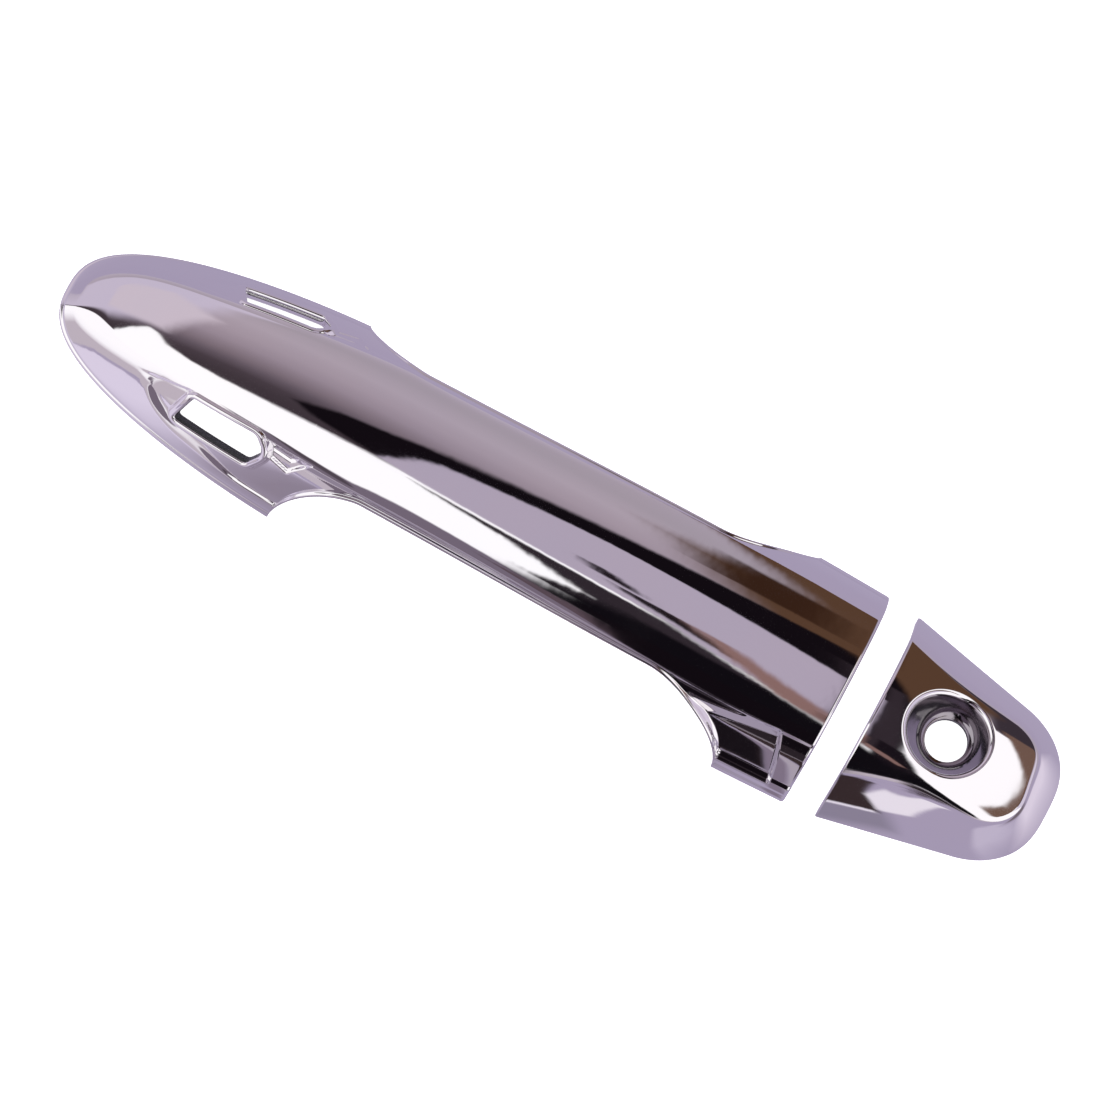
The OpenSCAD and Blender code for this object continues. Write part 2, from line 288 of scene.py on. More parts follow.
class Shape:
    """Collects grids and strips of faces, then makes one closed mesh of them."""

    def __init__(self):
        self.points, self.faces, self.slots, self.count = [], [], [], 0

    def add(self, points):
        """Adds points, and returns their numbers in the same layout."""
        flat = np.asarray(points).reshape(-1, 3)
        ids = np.arange(self.count, self.count + len(flat))
        self.points.append(flat)
        self.count += len(flat)
        return ids.reshape(np.shape(points)[:-1])

    def quads(self, ids, slot=0, closed=False, keep=None):
        """Faces between neighbouring rows and columns of numbers."""
        if closed:
            ids = np.concatenate([ids, ids[:, :1]], 1)
        a, b, c, d = ids[:-1, :-1], ids[:-1, 1:], ids[1:, 1:], ids[1:, :-1]
        cells = np.stack([a, b, c, d], -1)
        cells = cells.reshape(-1, 4) if keep is None else cells[keep]
        self.faces.extend(cells.tolist())
        self.slots.extend([slot] * len(cells))

    def zip(self, a, b, slot=0):
        """Triangles between two lines of numbers that run side by side."""
        points = np.concatenate(self.points)

        def share(ids):
            steps = np.linalg.norm(np.diff(points[ids], axis=0), axis=1)
            travelled = np.concatenate([[0.0], np.cumsum(steps)])
            return travelled / travelled[-1]
        sa, sb, i, j = share(a), share(b), 0, 0
        while i < len(a) - 1 or j < len(b) - 1:
            if j == len(b) - 1 or (i < len(a) - 1 and sa[i + 1] <= sb[j + 1]):
                self.faces.append([int(a[i]), int(a[i + 1]), int(b[j])])
                i += 1
            else:
                self.faces.append([int(a[i]), int(b[j + 1]), int(b[j])])
                j += 1
            self.slots.append(slot)

    def build(self, name, materials):
        mesh = bpy.data.meshes.new(name)
        points = np.concatenate(self.points) + [NOSE_X, 0.0, 0.0]
        mesh.from_pydata((points * MM).tolist(), [], self.faces)
        mesh.polygons.foreach_set("material_index", self.slots)
        for material in materials:
            mesh.materials.append(material)
        work = bmesh.new()
        work.from_mesh(mesh)
        bmesh.ops.remove_doubles(work, verts=work.verts, dist=3e-6)
        bmesh.ops.dissolve_degenerate(work, edges=work.edges, dist=1e-6)
        bmesh.ops.recalc_face_normals(work, faces=work.faces)
        if work.calc_volume(signed=True) < 0.0:
            bmesh.ops.reverse_faces(work, faces=work.faces)
        for face in work.faces:
            face.smooth = True
        work.to_mesh(mesh)
        work.free()
        obj = bpy.data.objects.new(name, mesh)
        bpy.context.collection.objects.link(obj)
        return obj


def ramp(x, start, end):
    """0 up to start, 1 from end, and smooth between."""
    return step01((x - start) / (end - start))


# ---- relief of the grip cover's side walls ----

SLOT_CORNERS = ((38.6, 19.2), (36.3, 9.9), (55.6, 10.9), (58.6, 16.6), (55.0, 20.9))
SLOT_RADII = (0.9, 0.9, 1.6, 4.2, 2.4)
SLOT_CENTRE = (47.0, 15.4)
EDGE_ROUND = 0.5        # rounding of every outer edge


def covered(x, y, corners, edge):
    """How far a polygon with a soft edge covers each place, 0 to 1."""
    corners = np.array(corners, float)
    nearest = to_polyline(x, y, np.concatenate([corners, corners[:1]]))
    inside = np.zeros(x.shape, bool)
    for (ax, ay), (bx, by) in zip(corners, np.roll(corners, -1, 0)):
        at = ax + (y - ay) * (bx - ax) / (by - ay if by != ay else 1e-9)
        inside ^= ((ay > y) != (by > y)) & (x < at)
    return step01(0.5 + np.where(inside, nearest, -nearest) / edge)


def lead_in(x, h):
    """The wedge in front of the slot's bezel: a flat cut with a sharp upper edge."""
    s = np.clip((x - 24.5) / 12.5, 0.0, 1.0)
    top = mix(15.6, 20.4, s)
    low = mix(15.0, 11.0, s)
    down = np.clip((h - low) / np.maximum(top - low, 0.05), 0.0, 1.0)
    inside = (1.0 - ramp(h, top - 0.1, top + 0.6)) * (1.0 - ramp(x, 39.0, 43.0))
    return -0.75 * s * down * inside


def scoop(x, h):
    """The sunk side of the front foot: soft below the nose, sharp by the arch."""
    line = 3.9 + 11.0 * np.exp(-(x - 25.0) / 5.5)
    width = mix(4.4, 0.5, ramp(x, 40.0, 58.0))
    f = np.clip((h - line) / width, 0.0, 1.0)
    fade = 1.0 - ramp(h, mix(12.5, 18.8, ramp(x, 28.0, 52.0)), 21.0)
    return -0.6 * step01(f) * ramp(x, 25.5, 31.0) * fade


POCKET = ((57.0, 20.9), (69.2, 20.9), (64.9, 14.6), (57.0, 17.0))


def front_pocket(x, h):
    """The pocket behind the bezel, with a shelf inside it."""
    shelf = covered(x, h, ((57.0, 20.9), (66.6, 20.9), (64.6, 17.9), (57.0, 18.6)), 0.9)
    return -covered(x, h, POCKET, 0.9) * mix(0.7, 1.05, shelf)


PANEL_X, PANEL_L = 180.0, 12.0          # where its edges are given, and over what length
PANEL_TOP, PANEL_LOW = (18.5, 21.0), (14.2, 16.6)     # the slanted face's two edges
PANEL_FOOT, PANEL_END = 3.5, 195.2
PANEL_DEEP, PANEL_SHALLOW = 1.35, 0.3


def rear_panel(x, h):
    """The sunk panel of the rear foot, with a slanted face along its top."""
    along = (x - PANEL_X) / PANEL_L
    top, low = mix(*PANEL_TOP, along), mix(*PANEL_LOW, along)
    end = PANEL_END - (h - PANEL_FOOT) * 0.2
    slant = 1.0 - np.clip((h - low) / (top - low), 0.0, 1.0)
    depth = mix(PANEL_DEEP, PANEL_SHALLOW, np.clip((13.0 - h) / 10.0, 0.0, 1.0) ** 2)
    return (-depth * slant * ramp(h, PANEL_FOOT - 0.5, PANEL_FOOT)
            * (1.0 - ramp(x, end - 1.1, end)) * ramp(x, 158.0, 166.0))


FAR_SHARE = 0.4         # how deep the far wall's relief is, of the near wall's
FAR_BEZEL = 0.55        # and how high its bezel
BEZEL_W = 2.2


def wall_relief(x, h, far):
    """Everything that raises or sinks the side walls, away from the bezel. The far
    wall's is fainter, and its rear foot is plain."""
    front = lead_in(x, h) + scoop(x, h) + front_pocket(x, h)
    return np.where(far, FAR_SHARE * front, front + rear_panel(x, h))


def bezel_profile(e, height, width):
    """Height of the bezel at the distance e out from the slot's edge."""
    f = np.clip(e / width, 0.0, 1.0)
    return height * np.clip(1.0 - np.abs(2.0 * f - 0.9) ** 3.0, 0.0, 1.0) ** 0.6 * (f < 1.0)


def rounded_outline(corners, radii, centre):
    """A polygon with rounded corners: angles seen from the centre, with the points
    and outward normals found at them."""
    corners, line = [np.array(c) for c in corners], []
    for i, corner in enumerate(corners):
        before = corners[i - 1] - corner
        after = corners[(i + 1) % len(corners)] - corner
        before, after = before / np.linalg.norm(before), after / np.linalg.norm(after)
        half = math.acos(float(np.clip(before @ after, -1.0, 1.0))) / 2.0
        reach = radii[i] / math.tan(half)
        a, b = corner + before * reach, corner + after * reach
        for t in np.linspace(0.0, 1.0, 16):
            line.append((1 - t) ** 2 * a + 2 * t * (1 - t) * corner + t * t * b)
    line = np.array(line)
    share = np.linspace(0.0, 1.0, 24)[:-1, None]
    points = np.concatenate([mix(a, b, share) for a, b in zip(line, np.roll(line, -1, 0))])
    along = np.roll(points, -3, 0) - np.roll(points, 3, 0)
    along /= np.linalg.norm(along, axis=1, keepdims=True)
    normals = np.stack([along[:, 1], -along[:, 0]], 1)
    away = points - np.array(centre)
    normals *= np.sign(np.sum(normals * away, 1).mean())
    angle = np.arctan2(away[:, 1], away[:, 0])
    order = np.argsort(angle)
    return angle[order], points[order], normals[order]


def frame_of(grid, rows, columns):
    """The values round a window in a grid, in order, starting at its first corner."""
    (i0, i1), (j0, j1) = rows, columns
    return np.concatenate([grid[i0:i1, j0], grid[i1, j0:j1], grid[i1:i0:-1, j1],
                           grid[i0, j1:j0:-1]])


def edge_round(distance, radius=EDGE_ROUND):
    """How far a rounded edge falls away at the distance in from it."""
    d = np.clip(distance, 0.0, radius)
    return radius - np.sqrt(np.maximum(0.0, radius ** 2 - (radius - d) ** 2))


# ---- the two shells ----

SLOT_OUTLINE = rounded_outline(SLOT_CORNERS, SLOT_RADII, SLOT_CENTRE)
SLOT_ROWS = (30.5, 61.0)        # the part of the foot that holds the slots
SLOT_COLUMNS = (0.5, 0.86)
BEZEL_RINGS = (0.0, 0.08, 0.2, 0.35, 0.55, 0.8, 1.1, 1.4, 1.65, 1.85, 2.05, 2.2, 2.35)


def grip_rows():
    """Stations along the foot, close together wherever the shape turns."""
    front, rear = GRIP.arch_x
    front_l, rear_l = GRIP.arch_l
    turn = np.radians(np.linspace(0.0, 90.0, 41))[1:]
    return np.concatenate([
        ring_x(np.linspace(0.0, 1.0, 43)),
        run((TIP_X, SLOT_ROWS[0], 16))[1:],
        run((*SLOT_ROWS, 76))[1:],
        run((SLOT_ROWS[1], front, 18))[1:],
        front + front_l * (1.0 - np.cos(turn)),
        run((front + front_l, rear - rear_l, 34))[1:],
        rear - rear_l * (1.0 - np.sin(turn)),
        run((rear, 190.5, 17), (190.5, 195.5, 30), (195.5, GRIP_L - 2.0, 6),
            (GRIP_L - 2.0, GRIP_L, 12))[1:],
    ])


def grip_shares():
    """Shares of the way from the crown to the lower edge, from -1 to 1."""
    low, high = SLOT_COLUMNS
    half = run((0.0, 0.36, 12), (0.36, low, 12), (low, high, 50), (high, 1.0, 24))
    return np.concatenate([-half[:0:-1], half])


def grip_surface(x0, v, edge, depth):
    """Places on the grip cover's outer face, or on its inner face at a depth."""
    if depth:
        p = GRIP.point(x0, v, -depth)
    else:
        x, h = GRIP.chart(x0, v)
        slope_l = SLANT * np.hypot(GRIP.lean(x0), GRIP.half_width(x0))
        to_rim = (edge - np.abs(v)) * slope_l
        out = (wall_relief(x, h, v > 0.0) * ramp(to_rim, 0.8, 2.6) - rim_lip(to_rim)
               - edge_round(GRIP_L - x0, 0.8))
        p = GRIP.point(x0, v, out)
    rim_z = GRIP.local(x0, edge)[2]
    p[..., 2] = np.maximum(p[..., 2], rim_z)
    p[..., 0] = np.minimum(np.where(x0 >= GRIP_L, GRIP_L, p[..., 0]), GRIP_L)
    return p


def rim_lip(to_rim):
    """The rolled lip: a rounded edge, with a fine groove above it."""
    groove = 0.22 * np.exp(-((to_rim - 1.7) / 0.28) ** 2)
    return edge_round(to_rim) + groove


def fill_slot(shape, ids, x0, v, side, depth, bezel_height):
    """Faces from a window in the grid up to the slot's rounded outline."""
    rows = [int(np.argmin(np.abs(x0[:, 0] - r))) for r in SLOT_ROWS]
    half = (v.shape[1] - 1) // 2
    shares = v[rows[0], half:]
    first, last = (int(np.argmin(np.abs(shares - c))) for c in SLOT_COLUMNS)
    columns = [half + first, half + last] if side > 0 else [half - last, half - first]
    edge_ids = frame_of(ids, rows, columns)
    window = np.stack(GRIP.chart(frame_of(x0, rows, columns), frame_of(v, rows, columns)), -1)
    away = window - np.array(SLOT_CENTRE)
    angle = np.arctan2(away[:, 1], away[:, 0])
    turns, points, normals = SLOT_OUTLINE

    def along(values):
        return np.stack([np.interp(angle, turns, values[:, k], period=2.0 * math.pi)
                         for k in (0, 1)], -1)
    hole, out = along(points), along(normals)
    out /= np.linalg.norm(out, axis=1, keepdims=True)
    rings = []

    def ring(chart, lift=0.0, relief_share=1.0):
        """One ring of places, raised by lift and by a share of the wall's relief."""
        rx0, rv = GRIP.from_chart(chart[:, 0], chart[:, 1])
        raised = lift - depth
        if not depth:
            raised = lift + relief_share * wall_relief(chart[:, 0], chart[:, 1], side > 0)
        rings.append(shape.add(GRIP.point(rx0, side * rv, raised)))
    if depth:
        for f in (0.0, 0.3, 0.65):
            ring(mix(hole, window, f))
    else:
        height = bezel_height * (FAR_BEZEL if side > 0 else 1.0)
        for e in BEZEL_RINGS:
            ring(hole + e * out, float(bezel_profile(np.array(e), height, BEZEL_W)),
                 float(step01((e - 1.2) / 1.2)))
        for f in np.linspace(0.0, 1.0, 9)[1:-1]:
            ring(mix(hole + BEZEL_RINGS[-1] * out, window, f))
    shape.quads(np.array(rings + [edge_ids]), closed=True, slot=1 if depth else 0)
    cells = np.zeros((x0.shape[0] - 1, v.shape[1] - 1), bool)
    cells[rows[0]:rows[1], columns[0]:columns[1]] = True
    return rings[0], cells


def grip_shell(sizes):
    """The grip cover as one closed mesh: outer face, inner face, slots and rims."""
    shape, outer_holes, inner_holes, lines = Shape(), [], [], []
    rows, shares = grip_rows(), grip_shares()
    for depth, step in ((0.0, 1), (WALL, 2)):
        x0 = rows[np.r_[0:len(rows) - 1:step, -1]][:, None]
        share = shares[::step][None, :]
        edge = GRIP.edge_v(x0[:, 0])[:, None]
        x0, v, edge = (np.array(a) for a in np.broadcast_arrays(x0, share * edge, edge))
        ids = shape.add(grip_surface(x0, v, edge, depth))
        cut = np.zeros((x0.shape[0] - 1, v.shape[1] - 1), bool)
        for side in (1, -1):
            ring, cells = fill_slot(shape, ids, x0, v, side, depth, sizes.bezel_height)
            cut |= cells
            (inner_holes if depth else outer_holes).append(ring)
        shape.quads(ids, slot=1 if depth else 0, keep=~cut)
        lines.append(np.concatenate([ids[::-1, 0], ids[1:, -1]]))
        lines.append(ids[-1])
    shape.zip(lines[0], lines[2])
    shape.zip(lines[1], lines[3])
    for outer, inner, slot in zip(outer_holes, inner_holes, (0, 1)):
        slot_wall(shape, outer, inner, slot)
    return shape


def slot_wall(shape, outer, inner, slot):
    """The slot's side wall, from its outer rim down to its inner one."""
    points = np.concatenate(shape.points)
    start = np.argmin(np.linalg.norm(points[inner] - points[outer[0]], axis=1))
    inner = np.roll(inner, -start)
    shape.zip(np.append(outer, outer[0]), np.append(inner, inner[0]), slot)


# ---- keyhole cover: spokes that run from the dish to the outline ----

KEY = (CAP_L - 18.0, 0.0)       # keyhole, counted from the cover's rounded end
BORE_R, DISH_R, DISH_FLOOR, CUP_R, CUP_LOW = 5.0, 6.5, 15.0, 12.05, 13.2
DISH_SLOPE = 4.55 / 7.6
RIM_ROUND, RIM_DEPTH = 0.75, 1.1        # how far the rim's rounding reaches out and down
FRONT_ROUND = 0.8                       # rounding of the cover's front edge


def cap_outline():
    """(x0, v) round the cover: near side, tip and far side, then the front edge."""
    foot = np.concatenate([ring_x(np.linspace(0.0, 0.8, 45)),
                           run((float(ring_x(0.8)), CAP_L, 70))[1:]])
    across = np.linspace(1.0, -1.0, 101)[1:-1]
    x0 = np.concatenate([foot[::-1], foot[1:], np.full(len(across), CAP_L)])
    v = np.concatenate([-np.ones(len(foot)), np.ones(len(foot) - 1), across])
    return x0, v


def cap_plan(x0, v):
    x, y, _z = CAP.local(x0, v)
    return np.stack([x, y], -1)


def cap_surface(plan, out):
    """Places on the cover over plan places, raised along the normal."""
    return CAP.over(plan[..., 0], plan[..., 1], out)


def to_row(x, y, z):
    """A place counted from the cover's rounded end, in the grip cover's count."""
    return np.stack([CAP.tip - x, -y, np.broadcast_to(z, np.shape(x))], -1)


def cap_shell():
    """The keyhole cover as one closed mesh."""
    shape = Shape()
    ox0, ov = cap_outline()
    border = cap_plan(ox0, ov)
    key = np.array(KEY)
    away = border - key
    away /= np.linalg.norm(away, axis=1, keepdims=True)
    rim_r = np.full(len(border), 10.4)
    for _ in range(4):
        z = cap_surface(key + away * rim_r[:, None], 0.0)[:, 2]
        rim_r = DISH_R + DISH_SLOPE * (z - DISH_FLOOR)
    rings = []

    def circle(r, z):
        r = np.broadcast_to(r, rim_r.shape)
        plan = key + away * r[:, None]
        rings.append(shape.add(to_row(plan[:, 0], plan[:, 1], z)))
    # bore and dish, from the bore's lower edge up to the rim
    circle(BORE_R, CUP_LOW)
    circle(BORE_R, DISH_FLOOR - 0.5)
    for t in np.linspace(0.0, 1.0, 13):
        circle(mix(BORE_R + 0.05, DISH_R + 1.1, t), DISH_FLOOR - 0.35 + 2.2 * t ** 1.8)
    start = key + away * (rim_r + RIM_ROUND)[:, None]
    top_z = cap_surface(start, 0.0)[:, 2]
    shape.quads(np.array(rings[:2]), slot=1, closed=True)
    dish = rings[1:]
    rings.clear()
    for t in np.linspace(0.0, 1.0, 9):
        f = 1.0 - t
        r = (f * f * (rim_r - RIM_DEPTH * DISH_SLOPE) + 2 * f * t * rim_r
             + t * t * (rim_r + RIM_ROUND))
        circle(r, f * f * (z - RIM_DEPTH) + 2 * f * t * z + t * t * top_z)
    # the dish takes the darker plate: painted shade in the recess
    shape.quads(np.array(dish + rings[:1]), slot=2, closed=True)
    # the outer face, spoke by spoke
    for f in run((0.0, 0.06, 3), (0.06, 0.9, 66), (0.9, 1.0, 20))[1:]:
        plan = mix(start, border, f)
        to_edge = np.linalg.norm(border - plan, axis=1) * np.where(ox0 < CAP_L, SLANT, 1.0)
        out = -edge_round(to_edge, np.where(ox0 < CAP_L, EDGE_ROUND, FRONT_ROUND))
        p = cap_surface(plan, out)
        p[:, 0] = np.maximum(p[:, 0], CAP_X)
        if f == 1.0:
            p[ox0 >= CAP_L, 0] = CAP_X
        rings.append(shape.add(p))
    shape.quads(np.array(rings), closed=True)
    outer_edge = rings[-1]
    # the cup under the dish, and the inner face
    rings.clear()
    circle(BORE_R, CUP_LOW)
    circle(CUP_R - 0.6, CUP_LOW)
    circle(CUP_R, CUP_LOW + 0.6)
    circle(CUP_R, cap_surface(key + away * CUP_R, -WALL)[:, 2] - 0.5)
    circle(CUP_R + 0.5, cap_surface(key + away * (CUP_R + 0.5), -WALL)[:, 2])
    for f in run((0.0, 1.0, 36))[1:]:
        plan = mix(key + away * (CUP_R + 0.5), border, f)
        p = cap_surface(plan, -WALL)
        p[:, 0] = np.maximum(p[:, 0], CAP_X)
        if f == 1.0:
            p[ox0 >= CAP_L, 0] = CAP_X
        rings.append(shape.add(p))
    shape.quads(np.array(rings), slot=1, closed=True)
    shape.quads(np.array([outer_edge, rings[-1]]), closed=True)
    return shape


# ---- tapes and liners: strips that follow the inner faces ----

SKIN_GAP = 0.1
TAPE_T, LINER_T, TAB_L = 1.0, 0.2, 5.0
STRIP_CORNER, STRIP_TUCK = 0.9, 0.105   # length of a strip's rounded end, and how far it tucks in
WAVE_SCALE = 900.0
TAPE_WAVES, LINER_WAVES = 0.04 * MM, 0.02 * MM
AREAS = {
    "nose": (GRIP, 20, 34, -0.36, 0.36),
    "front_foot": (GRIP, 40, 62, -0.34, 0.34),
    "near_grip": (GRIP, 72, 168, -0.52, -0.2),
    "far_grip": (GRIP, 72, 168, 0.2, 0.52),
    "near_rear": (GRIP, 176, 195, -0.5, -0.12),
    "far_rear": (GRIP, 176, 195, 0.12, 0.5),
    "near_keyhole": (CAP, 18, 40, 0.72, 0.88),
    "far_keyhole": (CAP, 18, 40, -0.88, -0.72),
    "end_keyhole": (CAP, -5, 5, 0.66, 0.88),
}


def strip_patch(area, depth, tab):
    """The face of a strip that lies nearest the shell, as an open patch."""
    cover, x_from, x_to, v_from, v_to = AREAS[area]
    length = (x_to - x_from) + tab
    along = np.linspace(x_from - tab, x_to, max(24, int(length / 0.7)))
    across = np.linspace(-1.0, 1.0, 25)
    middle, half = (v_from + v_to) / 2.0, (v_to - v_from) / 2.0
    to_end = np.minimum(along - along[0], along[-1] - along)
    narrow = 1.0 - STRIP_TUCK * edge_round(to_end, STRIP_CORNER) / STRIP_CORNER
    x = along[:, None] * np.ones_like(across)[None, :]
    v = middle + half * across[None, :] * narrow[:, None]
    v = np.where(x < 0.0, -v, v)
    p = cover.point(np.abs(x), v, -depth)
    shape = Shape()
    shape.quads(shape.add(p))
    return shape


def strip_tree(name, material):
    """Geometry Nodes that give a patch its thickness and the waviness of its faces."""
    tree = bpy.data.node_groups.new(name, "GeometryNodeTree")
    face = tree.interface
    face.new_socket("Geometry", in_out="INPUT", socket_type="NodeSocketGeometry")
    sizes = {}
    for label, default in (("Thickness", 1.0), ("Waviness", 0.03), ("Wave scale", WAVE_SCALE)):
        sizes[label] = face.new_socket(label, in_out="INPUT", socket_type="NodeSocketFloat")
        sizes[label].default_value = default
    face.new_socket("Geometry", in_out="OUTPUT", socket_type="NodeSocketGeometry")
    nodes, link = tree.nodes, tree.links.new
    start, end = nodes.new("NodeGroupInput"), nodes.new("NodeGroupOutput")
    flip = nodes.new("GeometryNodeFlipFaces")
    extrude = nodes.new("GeometryNodeExtrudeMesh")
    extrude.inputs["Individual"].default_value = False
    join = nodes.new("GeometryNodeJoinGeometry")
    merge = nodes.new("GeometryNodeMergeByDistance")
    merge.inputs["Distance"].default_value = 2e-6
    noise = nodes.new("ShaderNodeTexNoise")
    centre = nodes.new("ShaderNodeMath")
    centre.operation, centre.inputs[1].default_value = "SUBTRACT", 0.5
    size = nodes.new("ShaderNodeMath")
    size.operation = "MULTIPLY"
    normal = nodes.new("GeometryNodeInputNormal")
    shift = nodes.new("ShaderNodeVectorMath")
    shift.operation = "SCALE"
    move = nodes.new("GeometryNodeSetPosition")
    realize = nodes.new("GeometryNodeRealizeInstances")
    finish = nodes.new("GeometryNodeSetMaterial")
    finish.inputs["Material"].default_value = material
    link(start.outputs["Geometry"], extrude.inputs["Mesh"])
    link(start.outputs["Thickness"], extrude.inputs["Offset Scale"])
    link(start.outputs["Geometry"], flip.inputs["Mesh"])
    link(flip.outputs["Mesh"], join.inputs["Geometry"])
    link(extrude.outputs["Mesh"], join.inputs["Geometry"])
    link(join.outputs["Geometry"], merge.inputs["Geometry"])
    link(merge.outputs["Geometry"], move.inputs["Geometry"])
    link(start.outputs["Wave scale"], noise.inputs["Scale"])
    link(noise.outputs[0], centre.inputs[0])
    link(centre.outputs[0], size.inputs[0])
    link(start.outputs["Waviness"], size.inputs[1])
    link(normal.outputs["Normal"], shift.inputs[0])
    link(size.outputs[0], shift.inputs["Scale"])
    link(shift.outputs["Vector"], move.inputs["Offset"])
    link(move.outputs["Geometry"], realize.inputs["Geometry"])
    link(realize.outputs["Geometry"], finish.inputs["Geometry"])
    link(finish.outputs["Geometry"], end.inputs["Geometry"])
    return tree, {label: item.identifier for label, item in sizes.items()}


def waved_strip(patch, name, material, thickness, waviness):
    """Runs the strip tree on a patch and keeps the result as a plain mesh."""
    base = patch.build(name + "_patch", [material])
    tree, inputs = strip_tree(name + "_tree", material)
    modifier = base.modifiers.new("Strip", "NODES")
    modifier.node_group = tree
    modifier[inputs["Thickness"]] = thickness
    modifier[inputs["Waviness"]] = waviness
    modifier[inputs["Wave scale"]] = WAVE_SCALE
    graph = bpy.context.evaluated_depsgraph_get()
    mesh = bpy.data.meshes.new_from_object(base.evaluated_get(graph))
    bpy.data.objects.remove(base)
    work = bmesh.new()
    work.from_mesh(mesh)
    bmesh.ops.recalc_face_normals(work, faces=work.faces)
    work.to_mesh(mesh)
    work.free()
    piece = bpy.data.objects.new(name, mesh)
    bpy.context.collection.objects.link(piece)
    return piece


# ---- finishes ----

def noise_of(tree, scale, detail=4.0, stretch=None):
    """Noise over the piece's own coordinates, in metres."""
    where = tree.nodes.new("ShaderNodeTexCoord")
    noise = tree.nodes.new("ShaderNodeTexNoise")
    noise.inputs["Scale"].default_value = scale
    noise.inputs["Detail"].default_value = detail
    source = where.outputs["Object"]
    if stretch:
        mapping = tree.nodes.new("ShaderNodeMapping")
        mapping.inputs["Scale"].default_value = stretch
        tree.links.new(source, mapping.inputs["Vector"])
        source = mapping.outputs["Vector"]
    tree.links.new(source, noise.inputs["Vector"])
    return noise.outputs[0]


def spread(tree, value, low, high, start=0.3, end=0.7):
    """Maps a noise value from start..end to low..high."""
    node = tree.nodes.new("ShaderNodeMapRange")
    for key, number in (("From Min", start), ("From Max", end), ("To Min", low), ("To Max", high)):
        node.inputs[key].default_value = number
    tree.links.new(value, node.inputs["Value"])
    return node.outputs["Result"]


def blend_colours(tree, value, a, b):
    node = tree.nodes.new("ShaderNodeMix")
    node.data_type = "RGBA"
    node.inputs[6].default_value = (*a, 1.0)
    node.inputs[7].default_value = (*b, 1.0)
    tree.links.new(value, node.inputs[0])
    return node.outputs[2]


def add_bump(tree, shader, height, strength, distance):
    bump = tree.nodes.new("ShaderNodeBump")
    bump.inputs["Strength"].default_value = strength
    bump.inputs["Distance"].default_value = distance
    tree.links.new(height, bump.inputs["Height"])
    tree.links.new(bump.outputs["Normal"], shader.inputs["Normal"])


def new_material(name):
    material = bpy.data.materials.new(name)
    material.use_nodes = True
    tree = material.node_tree
    return material, tree, tree.nodes["Principled BSDF"]


def chrome_plate(colour, roughness):
    """Bright chrome over moulded plastic: faint waves, and a haze that varies."""
    material, tree, shader = new_material("Chrome plate")
    shader.inputs["Metallic"].default_value = 1.0
    tint = spread(tree, noise_of(tree, 30.0), 0.0, 1.0)
    warm = tuple(min(1.0, c * f) for c, f in zip(colour, (1.03, 1.01, 0.99)))
    tree.links.new(blend_colours(tree, tint, colour, warm), shader.inputs["Base Color"])
    haze = spread(tree, noise_of(tree, 70.0, 8.0), roughness * 0.5, roughness * 1.7)
    tree.links.new(haze, shader.inputs["Roughness"])
    add_bump(tree, shader, noise_of(tree, 160.0, 2.0), 0.12, 0.00012)
    return material


def dish_chrome_with_painted_shade(colour):
    """Darker, slightly hazy plate in the dish: the darker colour is painted shade in the recess.
    """
    material, tree, shader = new_material("Dish chrome with painted shade")
    shader.inputs["Metallic"].default_value = 1.0
    cloud = spread(tree, noise_of(tree, 300.0), 0.0, 1.0)
    pale = tuple(min(1.0, c * 1.12) for c in colour)
    tree.links.new(blend_colours(tree, cloud, colour, pale), shader.inputs["Base Color"])
    tree.links.new(spread(tree, noise_of(tree, 500.0, 5.0), 0.07, 0.13),
                   shader.inputs["Roughness"])
    add_bump(tree, shader, noise_of(tree, 260.0, 2.0), 0.15, 0.00015)
    return material


def moulded_plastic(colour):
    """The unplated inside of the mouldings: fine spark-eroded grain, flow marks."""
    material, tree, shader = new_material("Moulded inner face")
    cloud = spread(tree, noise_of(tree, 60.0, 5.0, (1.0, 4.0, 4.0)), 0.0, 1.0)
    pale = tuple(c * 1.7 + 0.004 for c in colour)
    tree.links.new(blend_colours(tree, cloud, colour, pale), shader.inputs["Base Color"])
    tree.links.new(spread(tree, noise_of(tree, 400.0, 6.0), 0.34, 0.56),
                   shader.inputs["Roughness"])
    add_bump(tree, shader, noise_of(tree, 2400.0, 3.0), 0.35, 0.00006)
    return material


def foam_rubber(colour):
    """Closed-cell foam: fine cells, matt."""
    material, tree, shader = new_material("Foam tape")
    where = tree.nodes.new("ShaderNodeTexCoord")
    cells = tree.nodes.new("ShaderNodeTexVoronoi")
    cells.inputs["Scale"].default_value = 2600.0
    tree.links.new(where.outputs["Object"], cells.inputs["Vector"])
    light = tuple(min(1.0, c * 1.9 + 0.02) for c in colour)
    shade = spread(tree, cells.outputs["Distance"], 0.0, 1.0, 0.1, 0.9)
    tree.links.new(blend_colours(tree, shade, colour, light), shader.inputs["Base Color"])
    tree.links.new(spread(tree, noise_of(tree, 500.0), 0.82, 0.95), shader.inputs["Roughness"])
    add_bump(tree, shader, cells.outputs["Distance"], 0.6, 0.00015)
    return material


